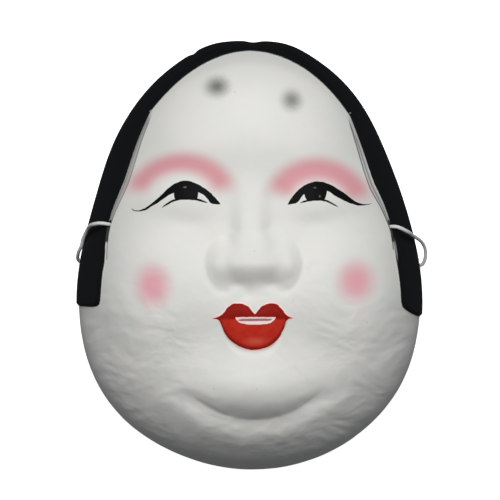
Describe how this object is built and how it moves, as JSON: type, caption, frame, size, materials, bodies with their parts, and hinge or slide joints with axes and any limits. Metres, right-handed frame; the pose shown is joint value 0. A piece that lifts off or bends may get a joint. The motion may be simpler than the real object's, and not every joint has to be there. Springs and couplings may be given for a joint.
{
  "type": "okame mask",
  "caption": "Full-face papier-mâché okame folk mask with moulded hair, painted eyes and red lips, lying face up with its elastic head cord.",
  "frame": {"origin": "centre of the outline at the level of the rim that the mask lies on", "axes": "+Z out of the face, +Y towards the crown, +X to the viewer's right"},
  "size_m": [0.1958, 0.24, 0.0811],
  "materials": {
    "painted_paper": "satin white gofun paint over layered paper",
    "elastic": "braided white polyester over rubber",
    "elastic_knot": "braided white polyester, drawn tight"
  },
  "bodies": {
    "root": {"mask": "painted_paper", "elastic_cord": "elastic", "cord_knot_left": "elastic_knot", "cord_knot_right": "elastic_knot"}
  },
  "joints": []
}
